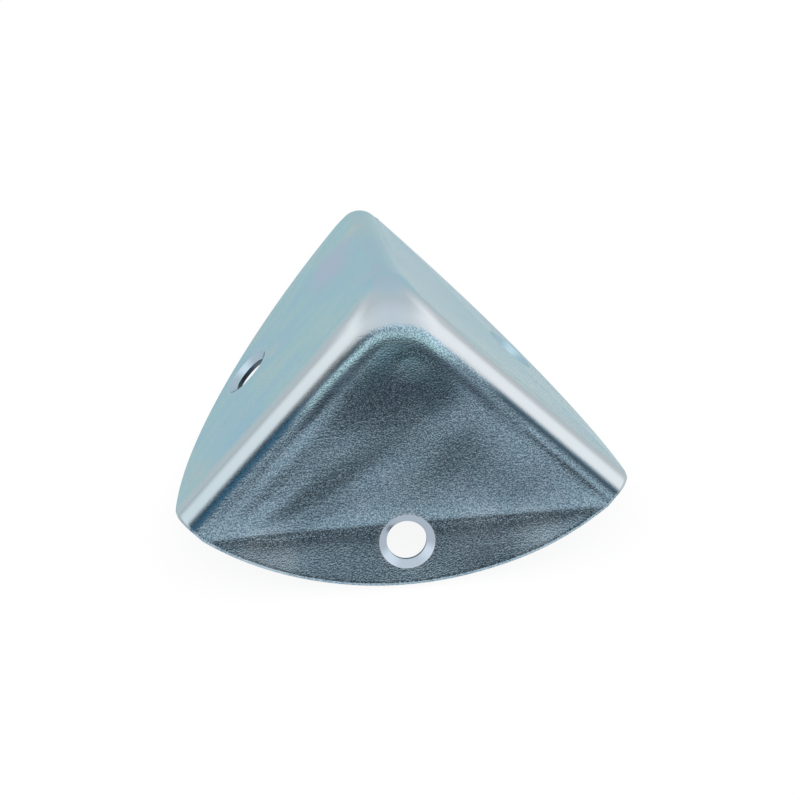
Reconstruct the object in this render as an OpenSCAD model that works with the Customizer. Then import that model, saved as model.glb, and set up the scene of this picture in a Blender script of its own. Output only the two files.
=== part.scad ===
// Corner for a flight case, pressed from one piece of zinc-plated steel sheet:
// three leaves at right angles, round folds between them, a round crown where
// the folds meet, an arc along the free rim of each leaf and one countersunk
// hole in each leaf. It stands on the three rims with the crown up. The origin is
// the corner of the case that sits inside it.

/* [Sheet] */
// Thickness of the steel sheet
sheet_t = 1.2; // [0.8:0.1:1.5]

/* [Leaves] */
// Length of each folded edge, from the point where the three outer faces would meet
leg_len = 40; // [34:1:60]
// Outside radius of the three folds
fold_r = 2.6; // [2.2:0.1:3.4]

/* [Crown] */
// Radius of the rounded corner that the flat of each leaf has at the crown
crown_set = 6; // [3:0.1:8]

/* [Rim] */
// Straight width of each leaf at the end of a fold, from the outer face beside it
tip_w = 4.3; // [4:0.1:6]
// How much nearer to the corner point the middle of the rim is than the end of a fold
rim_drop = 0.8; // [0.2:0.1:2]
// Round on the outer edge of the rim
rim_edge_r = 0.5; // [0.2:0.05:0.6]

/* [Holes] */
// Distance of each hole's centre from the middle of the rim
hole_inset = 5.7; // [5:0.1:10]
// Diameter of the straight part of each hole
hole_d = 5; // [3:0.1:5.5]
// Diameter of the countersink at the outer face
sink_d = 7; // [6:0.1:8]
// Depth of the countersink
sink_depth = 0.65; // [0.3:0.05:0.7]

/* [Hidden] */
$fn = 96;
// Margin by which a shape passes the surface that it cuts or is cut by
over = 1;
// Middle of the crown's ball, as a distance inside each outer face
crown_in = fold_r + crown_set;
// Outside radius of the crown's ball, which touches the middle line of each fold
ball_r = crown_set * sqrt(2) + fold_r;
// Distance from the corner point to the middle of a rim
rim_reach = leg_len - rim_drop;
// Centre of the rim's arc, which passes both straight tips and the middle of the rim
rim_c = (leg_len * leg_len + tip_w * tip_w - rim_reach * rim_reach)
    / (2 * (leg_len + tip_w - rim_reach * sqrt(2)));
// Radius of the rim's arc
rim_r = rim_reach - rim_c * sqrt(2);
// Depth to which the rim is cut: through the sheet, and short of the middle of the folds
rim_cut_depth = (sheet_t + fold_r) / 2;
// Place of a hole's centre, as a distance from the outer faces of both neighbours
hole_at = (rim_reach - hole_inset) / sqrt(2);
// Angle between the upright and the normal of each outer face
lean = acos(1 / sqrt(3));
// Height of the outer corner point above the corner of the case that sits inside
corner_z = sheet_t * sqrt(3);
// Turn that takes each leaf to the place of the next, as a swap of the axes
next_leaf = [[0, 0, 1, 0], [1, 0, 0, 0], [0, 1, 0, 0], [0, 0, 0, 1]];

// Repeats the upper leaf's shapes on all three leaves
module on_each_leaf() {
    children();
    multmatrix(next_leaf)
        children();
    multmatrix(next_leaf * next_leaf)
        children();
}

// What a fold takes off the square edge along x, for a skin at a depth inside the sheet
module fold_cut(depth) {
    far = leg_len + 3 * over;
    translate([-far, -fold_r, -fold_r])
        rotate([90, 0, 90])
            linear_extrude(height = far - crown_in)
                difference() {
                    square(fold_r + over);
                    circle(r = fold_r - depth);
                }
}

// What the round of a leaf's flat takes off the ball, as far as the ball's middle line
module crown_ring_cut(depth) {
    far = crown_in + fold_r;
    rotate_extrude()
        difference() {
            polygon([[0, 0], [far, far], [0, far]]);
            square([crown_set, crown_in - depth]);
            translate([crown_set, crown_set])
                circle(r = fold_r - depth);
        }
}

// What the crown takes off the square corner: all outside a ball with three round flats
module crown_cut(depth) {
    translate([-crown_in, -crown_in, -crown_in])
        difference() {
            cube(crown_in + over);
            difference() {
                sphere(r = ball_r - depth);
                on_each_leaf()
                    crown_ring_cut(depth);
            }
        }
}

// Solid inside one skin of the sheet, before the rims are cut
module skin_body(depth, far) {
    difference() {
        translate([-far, -far, -far])
            cube(far - depth);
        on_each_leaf()
            fold_cut(depth);
        crown_cut(depth);
    }
}

// Section of what is cut off outside a rim, with the outer edge of the rim rounded
module rim_section(width) {
    translate([0, -rim_cut_depth])
        square([width, rim_cut_depth + over]);
    translate([-rim_edge_r, -rim_edge_r])
        difference() {
            square(rim_edge_r + over);
            circle(r = rim_edge_r);
        }
}

// Cut along the straight tip of the upper leaf at the end of the fold along x
module tip_cut() {
    translate([-leg_len, -fold_r, 0])
        rotate([90, 0, 0])
            linear_extrude(height = leg_len)
                mirror([1, 0])
                    rim_section(2 * over);
}

// Cut across the end of the fold along x
module fold_end_cut() {
    translate([-leg_len, -fold_r, -fold_r])
        rotate([0, -90, 0])
            rotate_extrude(angle = 90)
                translate([fold_r, 0])
                    mirror([1, -1])
                        rim_section(2 * over);
}

// Cut along the arc of the upper leaf's rim
module arc_cut() {
    translate([-rim_c, -rim_c, 0])
        rotate_extrude()
            translate([rim_r, 0])
                rim_section(leg_len);
}

// Countersunk hole through the upper leaf
module hole_cut() {
    translate([-hole_at, -hole_at, 0]) {
        translate([0, 0, -sheet_t - over])
            cylinder(d = hole_d, h = sheet_t + 2 * over);
        translate([0, 0, -sink_depth])
            cylinder(d1 = hole_d, d2 = sink_d, h = sink_depth);
    }
}

// The pressed corner, with the outer faces on the three coordinate planes
module pressed_corner() {
    difference() {
        skin_body(0, leg_len + over);
        skin_body(sheet_t, leg_len + 2 * over);
        on_each_leaf() {
            fold_end_cut();
            tip_cut();
            mirror([1, -1, 0])
                tip_cut();
            arc_cut();
            hole_cut();
        }
    }
}

// The corner as it stands, crown up and one leaf to the front
module case_corner() {
    color([0.62, 0.68, 0.72])
        translate([0, 0, corner_z])
            rotate([0, 0, 90])
                rotate([0, -lean, 0])
                    rotate([0, 0, -45])
                        pressed_corner();
}

case_corner();
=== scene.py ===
"""Looks of a pressed flight case corner: its sheet with press marks, its zinc finish and its studio."""
import math

import bpy
from mathutils import Matrix, Vector
from mathutils.geometry import delaunay_2d_cdt


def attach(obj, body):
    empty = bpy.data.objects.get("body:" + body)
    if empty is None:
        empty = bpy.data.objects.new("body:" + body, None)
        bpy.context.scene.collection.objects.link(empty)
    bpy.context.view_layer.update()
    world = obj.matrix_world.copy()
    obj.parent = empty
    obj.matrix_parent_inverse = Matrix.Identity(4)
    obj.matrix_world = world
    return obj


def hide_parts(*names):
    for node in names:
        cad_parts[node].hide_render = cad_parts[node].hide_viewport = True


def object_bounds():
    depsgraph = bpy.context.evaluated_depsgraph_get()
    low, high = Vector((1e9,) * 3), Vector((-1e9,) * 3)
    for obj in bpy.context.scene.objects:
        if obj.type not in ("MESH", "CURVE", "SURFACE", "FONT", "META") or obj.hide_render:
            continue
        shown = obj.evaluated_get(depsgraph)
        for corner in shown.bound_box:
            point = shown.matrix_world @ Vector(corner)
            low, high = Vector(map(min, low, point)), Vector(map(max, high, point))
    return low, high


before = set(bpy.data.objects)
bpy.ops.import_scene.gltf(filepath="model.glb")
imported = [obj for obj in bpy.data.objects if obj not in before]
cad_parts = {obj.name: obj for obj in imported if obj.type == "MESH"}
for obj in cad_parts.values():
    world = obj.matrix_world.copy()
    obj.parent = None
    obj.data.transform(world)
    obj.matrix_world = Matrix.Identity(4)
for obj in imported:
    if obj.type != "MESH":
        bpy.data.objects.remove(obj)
cad_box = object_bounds()

# Sizes of the sheet in millimetres, as the solid has them
MM = 0.001
SHEET_T = 1.2
LEG_LEN = 40.0
FOLD_R = 2.6
CROWN_SET = 6.0
TIP_W = 4.3
RIM_DROP = 0.8
RIM_EDGE_R = 0.5
HOLE_INSET = 5.7
HOLE_R = 2.5
SINK_R = 3.5
SINK_DEPTH = 0.65

# Places that follow from the sizes
CROWN_IN = FOLD_R + CROWN_SET
BALL_R = CROWN_SET * math.sqrt(2) + FOLD_R
RIM_REACH = LEG_LEN - RIM_DROP
RIM_C = (
    (LEG_LEN ** 2 + TIP_W ** 2 - RIM_REACH ** 2)
    / (2 * (LEG_LEN + TIP_W - RIM_REACH * math.sqrt(2)))
)
RIM_R = RIM_REACH - RIM_C * math.sqrt(2)
HOLE_AT = (RIM_REACH - HOLE_INSET) / math.sqrt(2)
HALF_FOLD = FOLD_R * math.pi / 4
FOLD_MID = FOLD_R - HALF_FOLD
RING_END = CROWN_SET + HALF_FOLD

# Leaves by the axis that each one faces before the corner is stood on its rims
RIGHT, LEFT, FRONT = 0, 1, 2
LEAN = math.acos(1 / math.sqrt(3))
STAND = (
    Matrix.Rotation(math.pi / 2, 3, "Z")
    @ Matrix.Rotation(-LEAN, 3, "Y")
    @ Matrix.Rotation(-math.pi / 4, 3, "Z")
)
CORNER_TOP = Vector((0, 0, SHEET_T * math.sqrt(3)))

# Mesh over the sheet: spacing of its points, their distance from its lines, and steps round edges and holes
GRID = 0.36
CLEAR = 0.6 * GRID
EDGE_STEPS = 5
HOLE_STEPS = 84
ARC_STEPS = 110
TIP_STEPS = 9
FILL_TOLERANCE = 1e-5
# Steps in a metre: places that round to the same steps are one point
PLACE_STEPS = 1e6
# Angle from which an edge of the mesh is shaded as a sharp one
SHARP = math.radians(25)
# Length of a millimetre of the unrolled sheet in the mesh's UV layer
UNROLLED = 0.01
# Half the stretch round the crown over which the front folds give way to the one behind
BEND_TURN = 4.0


def smooth(x, low, high):
    """Rises smoothly from 0 at low to 1 at high."""
    t = min(max((x - low) / (high - low), 0.0), 1.0)
    return t * t * (3 - 2 * t)


def bell(x, width):
    """A soft bump of height 1 at 0."""
    return math.exp(-(x / width) ** 2)


# The skin of the sheet, unrolled: u and v are distances along it from the outer faces of the two neighbours

def skin_point(u, v, depth):
    """Distances from the faces of both neighbours and from the leaf's own, at a depth in the sheet."""
    if u < CROWN_IN and v < CROWN_IN:
        x, y = CROWN_IN - u, CROWN_IN - v
        reach, turn = math.hypot(x, y), math.atan2(y, x)
        if reach > CROWN_SET:
            if reach <= RING_END:
                angle = (reach - CROWN_SET) / FOLD_R
                out = CROWN_SET + (FOLD_R - depth) * math.sin(angle)
                up = CROWN_SET + (FOLD_R - depth) * math.cos(angle)
            else:
                angle = math.pi / 4 + (reach - RING_END) / BALL_R
                out = (BALL_R - depth) * math.sin(angle)
                up = (BALL_R - depth) * math.cos(angle)
            return CROWN_IN - out * math.cos(turn), CROWN_IN - out * math.sin(turn), CROWN_IN - up
    elif u < FOLD_R:
        angle = (FOLD_R - u) / FOLD_R
        return FOLD_R - (FOLD_R - depth) * math.sin(angle), v, FOLD_R - (FOLD_R - depth) * math.cos(angle)
    elif v < FOLD_R:
        angle = (FOLD_R - v) / FOLD_R
        return u, FOLD_R - (FOLD_R - depth) * math.sin(angle), FOLD_R - (FOLD_R - depth) * math.cos(angle)
    return u, v, depth


def into_flat(u, v):
    """Distance along the sheet from the line where a leaf's flat turns into a fold, positive on the flat."""
    if u < CROWN_IN and v < CROWN_IN:
        return CROWN_SET - math.hypot(CROWN_IN - u, CROWN_IN - v)
    return min(u, v) - FOLD_R


def to_rim(u, v):
    """Distance along the sheet to the rim of a leaf."""
    return min(LEG_LEN - max(u, v), RIM_R - math.hypot(u - RIM_C, v - RIM_C))


def front_fold(leaf, u, v):
    """1 on the leaves' folds beside the front leaf, falling to 0 on the fold behind the crown."""
    if leaf == FRONT:
        return 1.0
    return smooth(v - u if leaf == LEFT else u - v, -BEND_TURN, BEND_TURN)


def fold_amount(u, v):
    """0 on the flat, rising to 1 on the middle of the folds and on the crown."""
    return smooth(-into_flat(u, v), 0, HALF_FOLD)


# Marks of the press, as heights in millimetres by which the whole sheet stands proud of the plain shape.
# Where no comment says otherwise, a pair is a stretch in millimetres over which a mark sets in or fades.

# Raised panel inside the folds, and a groove beside one of them
PANEL_HEIGHT = 0.045
PANEL_EDGE = 1.1
GROOVE_AT = 1.7
GROOVE_DEPTH = 0.035
GROOVE_WIDTH = 0.75
GROOVE_SIDE = (-2, 4)
GROOVE_FADE = (24, 32)
# Distance from the folds and from the rim within which the broader marks rise
MARK_EDGE = 3.0
# Share of the broader marks on the two leaves beside the front one
SIDE_SHARE = 0.35
# Crease across the leaf, above its hole, where u and v add up to a sum
CREASE_SUM = LEG_LEN + 3.9
CREASE_HEIGHT = 0.22
CREASE_WIDTH = 2.0
CREASE_WIDTH_BELOW = 1.2
CREASE_ROUND = 0.25
# Draw wrinkles that fan out from a place beyond a tip of the leaf, and fade between two angles in radians
FAN_FROM = (53.0, 4.0)
FAN_PITCH = math.radians(9.3)
FAN_START = math.radians(0.5)
FAN_HEIGHT = 0.028
FAN_RISE = (13, 20)
FAN_FADE_BELOW = (-4, -0.5)
FAN_FADE_TURN = (0.25, 0.40)
# Swells beside the folds, a broad one and a narrow one
SWELL_AT = 3.5
SWELL_HEIGHT = 0.26
SWELL_WIDTH = 3.5
SWELL_RISE = (14, 20)
SWELL_FADE = (8, 24)
NARROW_HEIGHT = 0.21
NARROW_WIDTH = 4.0
NARROW_RISE = (15, 23)
NARROW_FADE = (7, 15)
# Line that the edge of the die left along a fold, with its rows of points in the mesh
DIE_AT = 3.4
DIE_START = 24.0
DIE_END = 39.0
DIE_RISE = 3
DIE_HEIGHT = 0.05
DIE_WIDTH = 0.3
DIE_HALF = 0.5
DIE_ROWS = 4
# Dent below the crown, on the front leaf, with the place of its middle
DENT = (6.9, 9.2)
DENT_DEPTH = 0.035
DENT_FLOOR = 1.6
DENT_R = 2.6
DENT_TILT = 0.018
# Sag of the leaf above the crease
SAG_AT = 7.0
SAG_DEPTH = 0.24
SAG_WIDTH = 9.0
SAG_ASIDE = (7, 20)
# Rise of the sheet between the crease and the rim, away from the hole
LOWER_RISE = 0.28
LOWER_DOWN = (-0.5, 6)
LOWER_ASIDE = (12, 25)
# Slow waves all over, with their turns in radians for each millimetre of u and v
WAVE_HEIGHT = 0.04
WAVE_FIRST = (0.21, 0.33)
WAVE_SECOND = (0.26, -0.17)
# Softer turn of the folds close to the crown, which lifts the flat beside them.
# Both ends of its stretch to the sides move out by the widening, farther into the flat.
SOFT_HEIGHT = 0.26
SOFT_AT = -0.4
SOFT_WIDTH = 0.60
SOFT_INTO = (0.5, 5)
SOFT_ASIDE = (5, 12)
SOFT_WIDENING = (4, 12)
SOFT_DOWN = (11, 27)


def soft_turn(flat, u, v):
    """Lift of the flat beside the folds close to the crown."""
    wide = smooth(flat, *SOFT_INTO)
    start, end = (side + more * wide for side, more in zip(SOFT_ASIDE, SOFT_WIDENING))
    near_crown = (1 - smooth(abs(u - v), start, end)) * (1 - smooth(u + v, *SOFT_DOWN))
    return SOFT_HEIGHT / 2 * (1 + math.erf((flat - SOFT_AT) / SOFT_WIDTH)) * near_crown


def waves(leaf, u, v):
    """Slow waves, different on each leaf."""
    first = math.cos(WAVE_FIRST[0] * u + WAVE_FIRST[1] * v + leaf)
    second = math.cos(WAVE_SECOND[0] * u + WAVE_SECOND[1] * v + 2 * leaf)
    return WAVE_HEIGHT * first * second


def groove(flat, u, v):
    """Depth of the groove beside one of the folds."""
    stretch = smooth(u - v, *GROOVE_SIDE) * (1 - smooth(u, *GROOVE_FADE))
    return GROOVE_DEPTH * bell(flat - GROOVE_AT, GROOVE_WIDTH) * stretch


def die_line(flat, u, v):
    """Height of the line that the die left."""
    stretch = smooth(v, DIE_START, DIE_START + DIE_RISE)
    return DIE_HEIGHT * bell(u - DIE_AT, DIE_WIDTH) * stretch * smooth(flat, 0, DIE_WIDTH)


def crease(below):
    """Height of the crease, at a distance below its top."""
    width = CREASE_WIDTH if below < 0 else CREASE_WIDTH_BELOW
    return CREASE_HEIGHT * math.exp((CREASE_ROUND - math.hypot(below, CREASE_ROUND)) / width)


def wrinkles(u, v, below):
    """Height of the draw wrinkles, which end above the crease."""
    turn = math.atan2(v - FAN_FROM[1], FAN_FROM[0] - u)
    reach = smooth(u, *FAN_RISE) * (1 - smooth(below, *FAN_FADE_BELOW)) * (1 - smooth(turn, *FAN_FADE_TURN))
    return FAN_HEIGHT * math.sin(2 * math.pi * (turn - FAN_START) / FAN_PITCH) * reach


def broad_swell(u, v):
    """Height of the broad swell beside the fold at low u."""
    swell = 1 - bell(max(u - SWELL_AT, 0), SWELL_WIDTH)
    return SWELL_HEIGHT * swell * (1 - smooth(u, *SWELL_FADE)) * smooth(v, *SWELL_RISE)


def narrow_swell(u, v):
    """Height of the narrow swell beside the fold at low v."""
    swell = 1 - bell(max(v - SWELL_AT, 0), NARROW_WIDTH)
    return NARROW_HEIGHT * swell * (1 - smooth(v, *NARROW_FADE)) * smooth(u, *NARROW_RISE)


def dent(u, v):
    """Depth of the dent below the crown, whose floor is tilted."""
    dented = 1 - smooth(math.hypot(u - DENT[0], v - DENT[1]), DENT_FLOOR, DENT_R)
    return (DENT_DEPTH - DENT_TILT * (u + v - sum(DENT))) * dented


def press_height(leaf, u, v):
    """Height of the marks that pressing left on a leaf."""
    flat = into_flat(u, v)
    soft = soft_turn(flat, u, v)
    if flat <= 0:
        return soft
    inside = smooth(flat, 0, MARK_EDGE)
    if leaf != FRONT:
        inside *= SIDE_SHARE * smooth(to_rim(u, v), 0, MARK_EDGE)
    die = die_line(flat, u, v)
    height = waves(leaf, u, v)
    if leaf == LEFT:
        u, v = v, u
    panel = PANEL_HEIGHT * smooth(flat, 0, PANEL_EDGE) - groove(flat, u, v)
    below = (u + v - CREASE_SUM) / math.sqrt(2)
    height += crease(below)
    height += wrinkles(u, v, below)
    height += broad_swell(u, v)
    height += narrow_swell(u, v)
    if leaf == FRONT:
        height -= dent(u, v)
    height += LOWER_RISE * smooth(below, *LOWER_DOWN) * smooth(abs(u - v), *LOWER_ASIDE)
    height -= SAG_DEPTH * bell(below + SAG_AT, SAG_WIDTH) * (1 - smooth(abs(u - v), *SAG_ASIDE))
    return soft + panel + die + inside * height


# Outlines on the unrolled leaf

def evenly(start, end, steps):
    """Numbers from start to end, both included."""
    return [start + (end - start) * i / steps for i in range(steps + 1)]


def fold_row(offset):
    """Points along the middle of the fold at low u, from the crown to the rim."""
    end = LEG_LEN - offset
    steps = round((end - CROWN_IN) / GRID)
    return [(FOLD_MID, v) for v in evenly(CROWN_IN, end, steps)]


def crown_row():
    """Points round a leaf's third of the crown, from the fold at low v to the fold at low u."""
    steps = 2 * round(RING_END * math.pi / 4 / GRID)
    row = []
    for turn in evenly(math.pi / 2, 0, steps):
        rise = math.atan(1 / max(math.cos(turn), math.sin(turn)))
        reach = RING_END + BALL_R * (rise - math.pi / 4)
        row.append((CROWN_IN - reach * math.cos(turn), CROWN_IN - reach * math.sin(turn)))
    return row


def rim_row(offset):
    """Points along a leaf's rim, moved in by an offset: straight tip, arc, straight tip."""
    end, arc_r = LEG_LEN - offset, RIM_R - offset
    corner = RIM_C + math.sqrt(arc_r ** 2 - (end - RIM_C) ** 2)
    first = math.atan2(end - RIM_C, corner - RIM_C)
    tip = [(u, end) for u in evenly(FOLD_MID, corner, TIP_STEPS)]
    angles = evenly(first, math.pi / 2 - first, ARC_STEPS)
    arc = [(RIM_C + arc_r * math.cos(a), RIM_C + arc_r * math.sin(a)) for a in angles]
    other_tip = [(v, u) for u, v in reversed(tip)]
    return tip + arc[1:-1] + other_tip


def hole_row(radius):
    """Points round a leaf's hole."""
    angles = evenly(0, 2 * math.pi, HOLE_STEPS)[:-1]
    return [(HOLE_AT + radius * math.cos(a), HOLE_AT + radius * math.sin(a)) for a in angles]


def die_rows():
    """Points close together along the die's line, so that the mesh follows it."""
    places = evenly(DIE_START, DIE_END, round((DIE_END - DIE_START) / GRID))
    offsets = evenly(-DIE_HALF, DIE_HALF, DIE_ROWS)
    return [(DIE_AT + across, v) for across in offsets for v in places]


def grid_points(lines):
    """Points of an even grid over a leaf that stay clear of the points on its lines."""
    cells = {}
    for u, v in lines:
        cells.setdefault((int(u // GRID), int(v // GRID)), []).append((u, v))

    def clear(u, v):
        i, j = int(u // GRID), int(v // GRID)
        near = (p for di in (-1, 0, 1) for dj in (-1, 0, 1) for p in cells.get((i + di, j + dj), ()))
        return all(math.hypot(p[0] - u, p[1] - v) > CLEAR for p in near)

    found = []
    pitch = GRID * math.sqrt(3) / 2
    for row in range(int((LEG_LEN + GRID) / pitch)):
        for col in range(int((LEG_LEN + GRID) / GRID)):
            u, v = (col + 0.5 * (row % 2)) * GRID, row * pitch
            if clear(u, v):
                found.append((u, v))
    return found


def leaf_fill(offset, hole_r):
    """Triangles over one skin of a leaf, inside its outline and outside its hole."""
    low_u = fold_row(offset)
    low_v = [(v, u) for u, v in reversed(low_u)]
    outline = low_u[:-1] + rim_row(offset)[:-1] + low_v[:-1] + crown_row()[:-1]
    ring = hole_row(hole_r)
    lines = outline + ring + die_rows()
    edges = [(i, (i + 1) % len(outline)) for i in range(len(outline))]
    edges += [(len(outline) + i, len(outline) + (i + 1) % len(ring)) for i in range(len(ring))]
    points = [Vector(p) for p in lines + grid_points(lines)]
    result = delaunay_2d_cdt(points, edges, [list(range(len(outline)))], 1, FILL_TOLERANCE)
    found, faces = result[0], result[2]

    def solid(face):
        u = sum(found[i].x for i in face) / len(face)
        v = sum(found[i].y for i in face) / len(face)
        return math.hypot(u - HOLE_AT, v - HOLE_AT) > hole_r * math.cos(math.pi / HOLE_STEPS)

    return [tuple(p) for p in found], [face for face in faces if solid(face)]


# The sheet as a mesh

def point_masks(leaf, u, v):
    """Values at a point of the sheet that the finish reads."""
    fold = fold_amount(u, v)
    to_hole = math.hypot(u - HOLE_AT, v - HOLE_AT) - SINK_R
    return {
        "fold": fold,
        "front": 1 - fold if leaf == FRONT else 0.0,
        "edge": max(0.0, min(to_rim(u, v), to_hole)),
        "shoulder": into_flat(u, v),
        "along": (u - v) / LEG_LEN,
        "bend": front_fold(leaf, u, v),
    }


class SheetMesh:
    """Collects the faces of the sheet, with points that meet joined into one."""

    def __init__(self):
        self.places, self.index = [], {}
        self.faces, self.unrolled = [], []
        self.on_points, self.on_faces = {}, {}

    def point(self, leaf, u, v, depth):
        """Adds a point at a depth in a leaf, or finds the one that is already there."""
        lifted = depth - press_height(leaf, u, v)
        a, b, d = skin_point(u, v, lifted)
        part = Vector((0, 0, 0))
        part[leaf], part[(leaf + 1) % 3], part[(leaf + 2) % 3] = -d, -a, -b
        place = (STAND @ part + CORNER_TOP) * MM
        key = tuple(round(c * PLACE_STEPS) for c in place)
        if key not in self.index:
            self.index[key] = len(self.places)
            self.places.append(place)
            for name, value in point_masks(leaf, u, v).items():
                self.on_points.setdefault(name, []).append(value)
        return self.index[key]

    def face(self, leaf, corners, sink=0.0, bore=0.0, inner=0.0):
        """Adds a face whose corners are given as u, v and depth."""
        ids = [self.point(leaf, *corner) for corner in corners]
        if len(set(ids)) < 3:
            return
        self.faces.append(ids)
        for name, value in (("sink", sink), ("bore", bore), ("inner", inner)):
            self.on_faces.setdefault(name, []).append(value)
        self.unrolled.append([(leaf * LEG_LEN + u, v) for u, v, _ in corners])

    def skin(self, leaf, depth, offset, hole_r):
        """Adds the outer or the inner skin of a leaf."""
        points, faces = leaf_fill(offset, hole_r)
        outer = depth == 0
        for face in faces:
            corners = [(*points[i], depth) for i in face]
            self.face(leaf, corners if outer else corners[::-1], inner=0.0 if outer else 1.0)

    def band(self, leaf, rows, closed=False, sink=0.0, bore=0.0):
        """Adds the faces between rows of points, each row a list with a depth."""
        for (near, near_d), (far, far_d) in zip(rows, rows[1:]):
            count = len(near)
            for i in range(count if closed else count - 1):
                j = (i + 1) % count
                corners = [(*near[i], near_d), (*near[j], near_d), (*far[j], far_d), (*far[i], far_d)]
                self.face(leaf, corners, sink, bore)


def sheet_mesh():
    """The whole pressed sheet, both skins, its rims and its countersunk holes."""
    sheet = SheetMesh()
    rim = []
    for angle in evenly(0, math.pi / 2, EDGE_STEPS):
        offset = RIM_EDGE_R * (1 - math.sin(angle))
        rim.append((rim_row(offset), RIM_EDGE_R * (1 - math.cos(angle))))
    rim.append((rim_row(0), SHEET_T))
    hole = [(hole_row(SINK_R), 0), (hole_row(HOLE_R), SINK_DEPTH), (hole_row(HOLE_R), SHEET_T)]
    for leaf in (RIGHT, LEFT, FRONT):
        sheet.skin(leaf, 0, RIM_EDGE_R, SINK_R)
        sheet.skin(leaf, SHEET_T, 0, HOLE_R)
        sheet.band(leaf, rim)
        sheet.band(leaf, hole[:2], closed=True, sink=1.0)
        sheet.band(leaf, hole[1:], closed=True, bore=1.0)
    return sheet


def store(mesh, domain, masks):
    """Keeps one value per point or face for each mask, which the finish reads."""
    for name, values in masks.items():
        layer = mesh.attributes.new(name, "FLOAT", domain)
        layer.data.foreach_set("value", values)


def pressed_corner():
    """The visible sheet, with its masks for the finish."""
    sheet = sheet_mesh()
    mesh = bpy.data.meshes.new("pressed_corner")
    mesh.from_pydata(sheet.places, [], sheet.faces)
    store(mesh, "POINT", sheet.on_points)
    store(mesh, "FACE", sheet.on_faces)
    layer = mesh.uv_layers.new(name="unrolled")
    flat_uv = [c * UNROLLED for face in sheet.unrolled for corner in face for c in corner]
    layer.data.foreach_set("uv", flat_uv)
    piece = bpy.data.objects.new("pressed_corner", mesh)
    bpy.context.scene.collection.objects.link(piece)
    mesh.shade_smooth()
    mesh.set_sharp_from_angle(angle=SHARP)
    return piece


# Material nodes

class Graph:
    """Adds nodes to a node tree and links their sockets."""

    def __init__(self, tree):
        self.tree = tree
        tree.nodes.clear()

    def add(self, kind, inputs=None, **settings):
        """A node with its settings, and with values or links on its inputs."""
        node = self.tree.nodes.new(kind)
        for name, value in settings.items():
            setattr(node, name, value)
        for name, value in (inputs or {}).items():
            self.put(node.inputs[name], value)
        return node

    def put(self, socket, value):
        """Links a socket to an input, or sets the input to a constant."""
        if isinstance(value, bpy.types.NodeSocket):
            self.tree.links.new(value, socket)
        else:
            socket.default_value = value

    def math(self, operation, a, b=0.0):
        return self.add("ShaderNodeMath", {0: a, 1: b}, operation=operation).outputs[0]

    def mask(self, name):
        return self.add("ShaderNodeAttribute", attribute_name=name).outputs["Fac"]

    def axes(self, vector):
        return self.add("ShaderNodeSeparateXYZ", {0: vector}).outputs

    def span(self, value, low, high, to_low=0.0, to_high=1.0):
        """Goes smoothly from one value at low to another at high."""
        ends = {"Value": value, "From Min": low, "From Max": high, "To Min": to_low, "To Max": to_high}
        return self.add("ShaderNodeMapRange", ends, interpolation_type="SMOOTHSTEP").outputs[0]

    def mix(self, factor, a, b):
        """Mixes two colours, which are inputs 6 and 7 and output 2 of the mix node."""
        ends = {0: factor, 6: a, 7: b}
        return self.add("ShaderNodeMix", ends, data_type="RGBA").outputs[2]

    def blend(self, factor, a, b):
        """Goes from a number at factor 0 to another at factor 1."""
        return self.math("ADD", a, self.times(factor, self.math("SUBTRACT", b, a)))

    def peak(self, value, middle, half):
        """1 where a value is at a middle, falling to 0 at half a width from it."""
        return self.span(self.math("ABSOLUTE", self.math("SUBTRACT", value, middle)), half, 0.0)

    def times(self, *factors):
        product = factors[0]
        for factor in factors[1:]:
            product = self.math("MULTIPLY", product, factor)
        return product

    def noise(self, where, size, detail=2.0, rough=0.5):
        """Noise with features of about a size in metres."""
        inputs = {"Vector": where, "Scale": 1 / size, "Detail": detail, "Roughness": rough}
        return self.add("ShaderNodeTexNoise", inputs).outputs["Fac"]

    def ramp(self, value, stops):
        """Colour ramp from pairs of position and colour."""
        node = self.add("ShaderNodeValToRGB", {"Fac": value})
        points = node.color_ramp.elements
        for position, _ in stops[2:]:
            points.new(position)
        for point, (position, colour) in zip(points, stops):
            point.position = position
            point.color = (*colour, 1)
        return node.outputs["Color"]


# Sizes of the finish's noises in metres, and the detail and roughness of two of them
GRAIN_SIZE = 0.00019
GRAIN_KIND = (1.5, 0.55)
CLOUD_SIZE = 0.013
CLOUD_KIND = (3.0, 0.55)
SLATE_SIZE = 0.004
STREAK_PATCH_SIZE = 0.009
# Depth of the grain's relief in metres
BUMP_DEPTH = 0.000032
# Scale of the film's clouds along x, y and z
CLOUD_STRETCH = (1.0, 1.0, 0.45)
# Lines of the film on the right leaf and on the other two, as lengths in millimetres along u and v,
# and their share, which ends on the folds
RIGHT_LINES = (14.0, 2.0)
OTHER_LINES = (3.2, 13.0)
LINES_FOLD = (0.5, 0.0, 0.0, 0.4)
# Noise that bends the edges of the stains and of the patches of painted shade and light: its scale, and its
# reach on the UV layer
WARP_SCALE = 140.0
WARP_REACH = 0.06
# Where each stain and each patch of painted shade and light sets in and where it is full, as shares of its
# half sizes
STAIN_AND_PAINTED_LIGHT_EDGE = (1.0, 0.25)
# Drawn streaks: width and length in millimetres, and where they show
STREAK_SIZE = (0.35, 5.0)
STREAK_SHOWN = (0.45, 0.65, 0.0, 0.6)
# Roughness of the zinc, what the grain adds, and what inside and bores add
ROUGH = 0.12
ROUGH_GRAIN = 0.06
ROUGH_INSIDE = 0.15
# Share of the grain's relief, full on the flats and low on folds and countersinks
RELIEF_SHARE = (0.8, 0.1, 0.2, 1.0)

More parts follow.
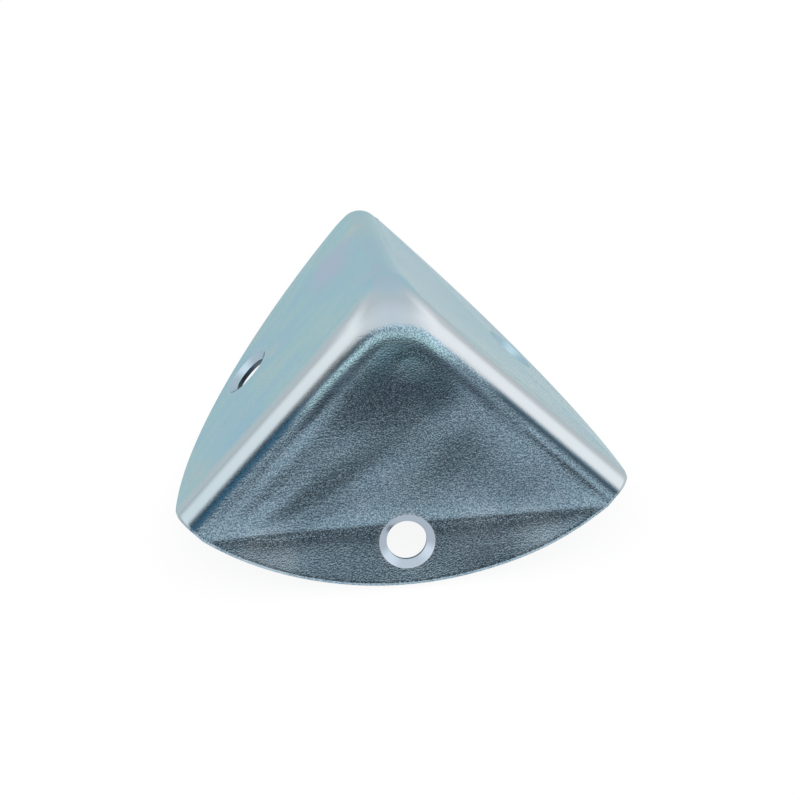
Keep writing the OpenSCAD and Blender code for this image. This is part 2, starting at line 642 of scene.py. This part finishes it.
# Tints of the film
FILM = [
    (0.32, (0.39, 0.465, 0.59)),
    (0.43, (0.32, 0.495, 0.60)),
    (0.51, (0.33, 0.52, 0.58)),
    (0.60, (0.38, 0.53, 0.56)),
    (0.72, (0.46, 0.525, 0.53)),
]
LAVENDER = (0.42, 0.45, 0.60, 1)
PEACH = (0.48, 0.515, 0.51, 1)
SKY = (0.30, 0.48, 0.62, 1)
# Slate of the front leaf: two shades, the dark of its grain, and the tones of its patches: a dull one of
# painted shade and a pale one of painted light
SLATE_BLUE = (0.40, 0.565, 0.69, 1)
SLATE_PALE = (0.47, 0.605, 0.71, 1)
SLATE_DARK = (0.12, 0.20, 0.28, 1)
SLATE_GRAIN = (0.34, 0.66)
SLATE_SHARE = 0.85
DULL_PAINTED_SHADE = (0.09, 0.155, 0.22, 1)
PALE = (0.55, 0.68, 0.77, 1)
# Film stains, and patches of painted shade and painted light on the front leaf: leaf, middle and half sizes
# along u and v in millimetres, strength, tone
FILM_STAINS = (
    (LEFT, 27.5, 6.5, 7.0, 6.0, 0.85, LAVENDER),
    (LEFT, 31.5, 2.2, 3.0, 3.0, 0.7, PEACH),
    (LEFT, 5.5, 28.0, 4.0, 8.0, 0.7, SKY),
    (LEFT, 21.0, 19.0, 3.0, 2.5, 0.5, PEACH),
    (LEFT, 9.0, 35.0, 5.0, 4.0, 0.45, PEACH),
    (RIGHT, 27.0, 7.0, 8.0, 3.0, 0.5, PEACH),
    (RIGHT, 12.0, 24.0, 4.0, 7.0, 0.5, LAVENDER),
)
# Patches of painted shade below the crown and of painted light near the lower corners of the front leaf
SLATE_PAINTED_SHADE_AND_LIGHT = (
    (FRONT, 6.7, 13.1, 5.0, 5.0, 0.5, DULL_PAINTED_SHADE),
    (FRONT, 10.3, 8.9, 5.0, 5.0, 0.4, DULL_PAINTED_SHADE),
    (FRONT, 14.3, 4.4, 3.5, 3.0, 0.35, DULL_PAINTED_SHADE),
    (FRONT, 36.0, 11.5, 5.0, 5.0, 0.5, PALE),
    (FRONT, 12.5, 35.0, 5.0, 5.0, 0.4, PALE),
    (FRONT, 17.5, 30.0, 5.0, 5.0, 0.3, PALE),
)
# Grey border of the side leaves beside the front folds
BORDER = (0.47, 0.52, 0.555, 1)
BORDER_AT = (3.0, 0.4)
BORDER_FRONT = (0.0, 0.2)
BORDER_SHARE = 0.9
# Bare metal of the folds, whose tone changes from side to side over a width in millimetres
FOLDS_WIDE = 60.0
FOLD_METAL = [
    (0.07, (0.37, 0.446, 0.482)),
    (0.30, (0.428, 0.48, 0.509)),
    (0.42, (0.458, 0.507, 0.535)),
    (0.50, (0.40, 0.475, 0.535)),
    (0.58, (0.491, 0.524, 0.551)),
    (0.87, (0.475, 0.519, 0.546)),
]
BARE_FOLD = (0.02, 0.4)
BARE_BEND = (0.0, 1.0, 0.35, 1.0)

# Bands at the edge of the front leaf: painted dark reflections, blue and teal film tints that also paint the
# dark reflection there, and a cyan film tint with a painted glint. AT is a middle and a half width, in
# millimetres into the flat.
# The rest are stretches along the leaf as shares of its length, of the grain or of a mask,
# with the values at their ends where these aren't 0 and 1.
AHEAD = (0.0, 0.3)
# Dark tone painted where the front leaf's shoulder would reflect the dim area ahead: a painted dark
# reflection
BAND_PAINTED_DARK_REFLECTION = (0.12, 0.18, 0.24, 1)
DARK_LEFT_AT = (-0.35, 0.6)
DARK_LEFT_ALONG = (0.05, 0.25, 0.0, 0.85)
INNER_DARK_AT = (1.25, 1.1)
INNER_DARK_RISE = (0.05, 0.25, 0.35, 0.75)
INNER_DARK_FADE = (0.5, 0.32)
BAND_PAINTED_DEEP_REFLECTION = (0.06, 0.11, 0.155, 1)
DARK_RIGHT_AT = (-0.35, 0.75)
DARK_RIGHT_ALONG = (-0.34, -0.48, 0.0, 0.9)
# Deep blue of the film along the lower left fold, which also paints the dark reflection there
BAND_BLUE_FILM_AND_PAINTED_REFLECTION = (0.03, 0.14, 0.25, 1)
BLUE_AT = (-0.45, 0.95)
BLUE_ALONG = (0.36, 0.52)
BLUE_GRAIN = (0.35, 0.6, 1.0, 0.7)
# Dark teal of the film near the crown, which also paints the dark reflection there
BAND_TEAL_FILM_AND_PAINTED_REFLECTION = (0.17, 0.36, 0.44, 1)
TEAL_AT = (2.8, 3.2)
TEAL_FADE = (0.22, 0.02, 0.0, 0.6)
# Cyan of the film, bright enough to be a painted glint, sparkling with the grain
BAND_CYAN_FILM_AND_PAINTED_GLINT = (0.60, 0.92, 1.0, 1)
CYAN_MIDDLE = (0.0, 0.25, 0.8, 0.12)
CYAN_HALF = (0.0, 0.25, 1.25, 0.65)
CYAN_LEFT_END = (0.50, 0.34)
CYAN_RIGHT_END = (-0.36, -0.16)
PAINTED_SPARKLE_GRAIN = (0.42, 0.56, 0.4, 1.0)
PAINTED_SPARKLE_RISE = (0.0, 0.2, 0.6, 1.0)

# Countersinks, with the share of their tone on the right leaf and what the left one adds
SINK_TONE = (0.40, 0.465, 0.545, 1)
SINK_RIGHT = 0.3
SINK_LEFT_MORE = 0.4
# Bores, whose dark tone is painted shade in the holes, worn edges and the inner skin
BORE_PAINTED_SHADE = (0.12, 0.15, 0.18, 1)
WORN_TONE = (0.50, 0.56, 0.60, 1)
WORN_EDGE = (0.7, 0.0)
WORN_GRAIN = (0.4, 0.65)
WORN_SHARE = 0.7
INSIDE_TONE = (0.30, 0.39, 0.44, 1)
INSIDE_SHARE = 0.6
# Tone of the reflections at a flat angle
FLAT_ANGLE_TINT = (0.65, 0.76, 0.78, 1)


class Surface:
    """What the finish reads on the sheet: places, masks and the grain."""

    def __init__(self, g):
        self.g = g
        self.place = g.add("ShaderNodeTexCoord").outputs["Object"]
        self.sheet = g.add("ShaderNodeUVMap", uv_map="unrolled").outputs[0]
        self.fold, self.bend, self.front = g.mask("fold"), g.mask("bend"), g.mask("front")
        self.shoulder, self.along, self.edge = g.mask("shoulder"), g.mask("along"), g.mask("edge")
        self.sink, self.bore, self.inner = g.mask("sink"), g.mask("bore"), g.mask("inner")
        self.away = g.math("ABSOLUTE", self.along)
        self.ahead = g.span(self.front, *AHEAD)
        # 1 on the left and front leaves, which lie past the right one on the unrolled sheet
        self.past_right = g.math("GREATER_THAN", g.axes(self.sheet)[0], LEG_LEN * UNROLLED)
        self.grain = g.noise(self.place, GRAIN_SIZE, *GRAIN_KIND)
        warp = g.add("ShaderNodeTexNoise", {"Vector": self.place, "Scale": WARP_SCALE}).outputs["Color"]
        moved = {0: warp, 1: (WARP_REACH, WARP_REACH, 0.0), 2: self.sheet}
        self.bent = g.add("ShaderNodeVectorMath", moved, operation="MULTIPLY_ADD").outputs[0]

    def lines(self, along_u, along_v, turn=0.0):
        """Noise drawn out over the unrolled sheet, with lengths in millimetres."""
        stretch = {
            "Vector": self.sheet,
            "Rotation": (0, 0, turn),
            "Scale": (along_u * UNROLLED, along_v * UNROLLED, 1),
        }
        drawn = self.g.add("ShaderNodeMapping", stretch, vector_type="TEXTURE").outputs[0]
        return self.g.noise(drawn, 1.0)

    def stain_and_painted_light_patch(self, leaf, u, v, half_u, half_v):
        """A soft patch on a leaf, by its place on the unrolled sheet, for a film stain and for painted shade
        and light.
        """
        scale = (1 / (half_u * UNROLLED), 1 / (half_v * UNROLLED), 0)
        middle = ((leaf * LEG_LEN + u) * UNROLLED + WARP_REACH / 2, v * UNROLLED + WARP_REACH / 2, 0)
        shift = tuple(-m * s for m, s in zip(middle, scale))
        moved = {"Vector": self.bent, "Scale": scale, "Location": shift}
        away = self.g.add("ShaderNodeMapping", moved).outputs[0]
        distance = self.g.add("ShaderNodeVectorMath", {0: away}, operation="LENGTH").outputs["Value"]
        return self.g.span(distance, *STAIN_AND_PAINTED_LIGHT_EDGE)

    def with_stains_and_painted_light(self, colour, stains, share=1.0):
        """A colour with the listed patches laid over it: film stains, and painted shade and light."""
        for leaf, u, v, half_u, half_v, strength, tone in stains:
            where = self.stain_and_painted_light_patch(leaf, u, v, half_u, half_v)
            colour = self.g.mix(self.g.times(where, strength, share), colour, tone)
        return colour


def film_colour(g, on):
    """Tints of the film: clouds, with lines drawn along the leaves, and stains."""
    pulled = g.blend(on.past_right, on.lines(*RIGHT_LINES), on.lines(*OTHER_LINES))
    stretched = g.add("ShaderNodeMapping", {"Vector": on.place, "Scale": CLOUD_STRETCH}).outputs[0]
    cloud = g.noise(stretched, CLOUD_SIZE, *CLOUD_KIND)
    film = g.blend(g.span(on.fold, *LINES_FOLD), cloud, pulled)
    return on.with_stains_and_painted_light(g.ramp(film, FILM), FILM_STAINS)


def slate_colour(g, on, colour):
    """Lays the grained slate of the front leaf over the film, with patches of painted shade below the crown
    and of painted light near its lower corners.
    """
    slate = g.mix(g.noise(on.place, SLATE_SIZE), SLATE_BLUE, SLATE_PALE)
    slate = g.mix(g.span(on.grain, *SLATE_GRAIN), SLATE_DARK, slate)
    colour = g.mix(g.math("MULTIPLY", on.front, SLATE_SHARE), colour, slate)
    return on.with_stains_and_painted_light(colour, SLATE_PAINTED_SHADE_AND_LIGHT, on.front)


def fold_colour(g, on, colour):
    """Lays the grey borders and the bare metal of the folds over the leaves."""
    beside = g.math("SUBTRACT", 1.0, g.span(on.front, *BORDER_FRONT))
    border = g.times(g.span(on.shoulder, *BORDER_AT), on.bend, beside, BORDER_SHARE)
    colour = g.mix(border, colour, BORDER)
    bare = g.times(g.span(on.fold, *BARE_FOLD), g.span(on.bend, *BARE_BEND))
    across = g.math("DIVIDE", g.axes(on.place)[0], FOLDS_WIDE * MM)
    metal = g.ramp(g.math("ADD", across, 0.5), FOLD_METAL)
    return g.mix(bare, colour, metal)


def film_and_painted_reflection_bands(g, on, colour):
    """Lays the bands at the edge of the front leaf over it: painted dark reflections, and blue and teal film
    tints that also paint the dark reflection there.
    """
    # Painted dark reflections: beside the left fold and under the crown, then beside the right fold
    dark_left = g.times(g.peak(on.shoulder, *DARK_LEFT_AT), g.span(on.along, *DARK_LEFT_ALONG))
    inner_dark = g.times(
        g.peak(on.shoulder, *INNER_DARK_AT),
        g.span(on.away, *INNER_DARK_RISE),
        g.span(on.away, *INNER_DARK_FADE),
    )
    colour = g.mix(g.times(g.math("ADD", dark_left, inner_dark), on.ahead), colour, BAND_PAINTED_DARK_REFLECTION)
    dark_right = g.times(g.peak(on.shoulder, *DARK_RIGHT_AT), g.span(on.along, *DARK_RIGHT_ALONG))
    colour = g.mix(g.times(dark_right, on.ahead), colour, BAND_PAINTED_DEEP_REFLECTION)
    # Blue film tint along the lower left fold, partly a painted dark reflection
    blue = g.times(
        g.peak(on.shoulder, *BLUE_AT),
        on.ahead,
        g.span(on.along, *BLUE_ALONG),
        g.span(on.grain, *BLUE_GRAIN),
    )
    colour = g.mix(blue, colour, BAND_BLUE_FILM_AND_PAINTED_REFLECTION)
    # Teal film tint inside the folds near the crown, partly a painted dark reflection
    teal = g.times(g.peak(on.shoulder, *TEAL_AT), on.ahead, g.span(on.away, *TEAL_FADE))
    return g.mix(teal, colour, BAND_TEAL_FILM_AND_PAINTED_REFLECTION)


def cyan_film_and_painted_glint(g, on, colour):
    """Lays the cyan band that follows the arch below the crown over the front leaf: the film's cyan made
    bright as a painted glint that glitters with the grain.
    """
    off_middle = g.math("SUBTRACT", on.shoulder, g.span(on.away, *CYAN_MIDDLE))
    off = g.math("DIVIDE", off_middle, g.span(on.away, *CYAN_HALF))
    cyan = g.times(
        g.peak(off, 0.0, 1.0),
        on.ahead,
        g.span(on.along, *CYAN_LEFT_END),
        g.span(on.along, *CYAN_RIGHT_END),
        g.span(on.grain, *PAINTED_SPARKLE_GRAIN),
        g.span(on.away, *PAINTED_SPARKLE_RISE),
    )
    return g.mix(cyan, colour, BAND_CYAN_FILM_AND_PAINTED_GLINT)


def edge_colour(g, on, colour):
    """Lays the tones of countersinks, the painted shade of the bores, worn edges and the inner skin over the
    rest.
    """
    on_sides = g.math("ADD", g.times(on.past_right, SINK_LEFT_MORE), SINK_RIGHT)
    polish = g.math("MAXIMUM", on.front, on_sides)
    colour = g.mix(g.times(on.sink, polish), colour, SINK_TONE)
    # Painted shade on the bore walls
    colour = g.mix(on.bore, colour, BORE_PAINTED_SHADE)
    plain = g.math("SUBTRACT", 1.0, g.math("MAXIMUM", on.sink, on.bore))
    worn = g.times(g.span(on.edge, *WORN_EDGE), g.span(on.grain, *WORN_GRAIN), plain, WORN_SHARE)
    colour = g.mix(worn, colour, WORN_TONE)
    return g.mix(g.times(on.inner, INSIDE_SHARE), colour, INSIDE_TONE)


def grain_relief(g, on):
    """Relief of the grain and of faint drawn streaks."""
    shown = g.span(g.noise(on.place, STREAK_PATCH_SIZE), *STREAK_SHOWN)
    streaks = g.times(on.lines(*STREAK_SIZE, math.pi / 4), shown)
    share = g.span(g.math("MAXIMUM", on.fold, on.sink), *RELIEF_SHARE)
    height = g.times(g.math("ADD", on.grain, streaks), share)
    bump = {"Strength": 1.0, "Distance": BUMP_DEPTH, "Height": height}
    return g.add("ShaderNodeBump", bump).outputs[0]


def zinc_finish():
    """Bright zinc with a thin passivated film: soft tints, a fine grain, bare metal on folds and edges; on
    the front leaf painted dark reflections, a painted glint and patches of painted shade and light, and
    painted shade in the bores.
    """
    material = bpy.data.materials.new("zinc_plated_steel")
    material.use_nodes = True
    g = Graph(material.node_tree)
    on = Surface(g)
    colour = film_colour(g, on)
    for layer in (slate_colour, fold_colour, film_and_painted_reflection_bands, cyan_film_and_painted_glint, edge_colour):
        colour = layer(g, on, colour)
    inside = g.times(g.math("MAXIMUM", on.inner, on.bore), ROUGH_INSIDE)
    rough = g.math("ADD", ROUGH, g.math("ADD", g.times(on.grain, ROUGH_GRAIN), inside))
    shader = g.add("ShaderNodeBsdfPrincipled", {
        "Base Color": colour,
        "Metallic": 1.0,
        "Roughness": rough,
        "Normal": grain_relief(g, on),
        "Specular Tint": FLAT_ANGLE_TINT,
    })
    g.add("ShaderNodeOutputMaterial", {"Surface": shader.outputs[0]})
    return material


# Studio

# Floor: half its width in metres, its grey for the shadow, and its glow
FLOOR_HALF = 8.0
FLOOR_GREY = (0.10, 0.10, 0.10, 1)
FLOOR_GLOW = 0.90
# Soft lights on both sides, by how far sideways and how high a direction points,
# and the light of the room, which is brighter overhead
SIDE_LIGHT = (0.35, 0.75, 0.0, 0.54)
SIDE_HEIGHT = (0.03, 0.5)
CEILING = (0.7, 0.95, 1.0, 1.2)
# Dim areas: azimuth and elevation in degrees, then pairs of the cosine of the angle from there
# and the light that is left
DIM_AREAS = (
    (6, -10, [
        (0.407, 1.0), (0.643, 0.97), (0.743, 0.92), (0.809, 0.84),
        (0.839, 0.66), (0.875, 0.30), (0.906, 0.14), (0.940, 0.08),
    ]),
    (-30, 38, [(0.895, 1.0), (0.96, 0.6), (0.986, 0.34), (1.0, 0.27)]),
    (20, 27, [(0.96, 1.0), (0.985, 0.8), (0.995, 0.7), (1.0, 0.65)]),
)
# Camera: a long lens from the front, a little to the left, about 51 degrees above the floor
CAMERA_AZIMUTH = math.radians(-8.70)
CAMERA_ELEVATION = math.radians(51.31)
CAMERA_ROLL = math.radians(1.91)
CAMERA_DISTANCE = 0.7252
CAMERA_LENS = 266.7
CAMERA_TARGET = Vector((-0.00015, -0.01045, -0.00829))


def direction(azimuth, elevation):
    """Direction at an azimuth from the front and an elevation, both in radians."""
    level = math.cos(elevation)
    return Vector((level * math.sin(azimuth), -level * math.cos(azimuth), math.sin(elevation)))


def studio_floor():
    """Pale floor under the rims, shown white with the part's soft shadow on it."""
    half, low = FLOOR_HALF, cad_box[0][2]
    mesh = bpy.data.meshes.new("floor")
    corners = [(-half, -half, low), (half, -half, low), (half, half, low), (-half, half, low)]
    mesh.from_pydata(corners, [], [(0, 1, 2, 3)])
    floor = bpy.data.objects.new("floor", mesh)
    bpy.context.scene.collection.objects.link(floor)
    material = bpy.data.materials.new("floor")
    material.use_nodes = True
    g = Graph(material.node_tree)
    seen = g.add("ShaderNodeLightPath").outputs
    shown = g.math("MAXIMUM", seen["Is Camera Ray"], seen["Is Glossy Ray"])
    shown = g.math("MAXIMUM", shown, seen["Is Transmission Ray"])
    paper = g.add("ShaderNodeBsdfDiffuse", {"Color": FLOOR_GREY}).outputs[0]
    glow = g.add("ShaderNodeEmission", {"Strength": g.math("MULTIPLY", shown, FLOOR_GLOW)}).outputs[0]
    both = g.add("ShaderNodeAddShader", {0: paper, 1: glow}).outputs[0]
    g.add("ShaderNodeOutputMaterial", {"Surface": both})
    mesh.materials.append(material)


def studio_light():
    """Soft white surroundings: a pale room, soft lights on both sides and above, and dim areas in front."""
    world = bpy.data.worlds.new("studio")
    bpy.context.scene.world = world
    world.use_nodes = True
    g = Graph(world.node_tree)
    way = g.add("ShaderNodeTexCoord").outputs["Generated"]
    x, _, z = g.axes(way)
    sides = g.times(g.span(g.math("ABSOLUTE", x), *SIDE_LIGHT), g.span(z, *SIDE_HEIGHT))
    lit = g.math("ADD", sides, g.span(z, *CEILING))

    def dimmed(azimuth, elevation, falloff):
        spot = direction(math.radians(azimuth), math.radians(elevation))
        near = g.add("ShaderNodeVectorMath", {0: way, 1: spot}, operation="DOT_PRODUCT").outputs["Value"]
        return g.ramp(near, [(position, (level,) * 3) for position, level in falloff])

    dim = dimmed(*DIM_AREAS[0])
    for area in DIM_AREAS[1:]:
        dim = g.math("MINIMUM", dim, dimmed(*area))
    strength = g.math("MULTIPLY", lit, dim)
    back = g.add("ShaderNodeBackground", {"Color": (1, 1, 1, 1), "Strength": strength}).outputs[0]
    g.add("ShaderNodeOutputWorld", {"Surface": back})


def photo_camera():
    """The camera, set as it was fitted to the photo."""
    toward = direction(CAMERA_AZIMUTH, CAMERA_ELEVATION)
    data = bpy.data.cameras.new("camera")
    data.lens = CAMERA_LENS
    camera = bpy.data.objects.new("camera", data)
    turn = toward.to_track_quat("Z", "Y").to_matrix() @ Matrix.Rotation(CAMERA_ROLL, 3, "Z")
    camera.matrix_world = Matrix.Translation(CAMERA_TARGET + toward * CAMERA_DISTANCE) @ turn.to_4x4()
    bpy.context.scene.collection.objects.link(camera)
    bpy.context.scene.camera = camera


photo_camera()
corner = pressed_corner()
corner.data.materials.append(zinc_finish())
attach(corner, "root")
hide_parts("case_corner")
studio_floor()
studio_light()
bpy.context.scene.view_settings.view_transform = "Standard"
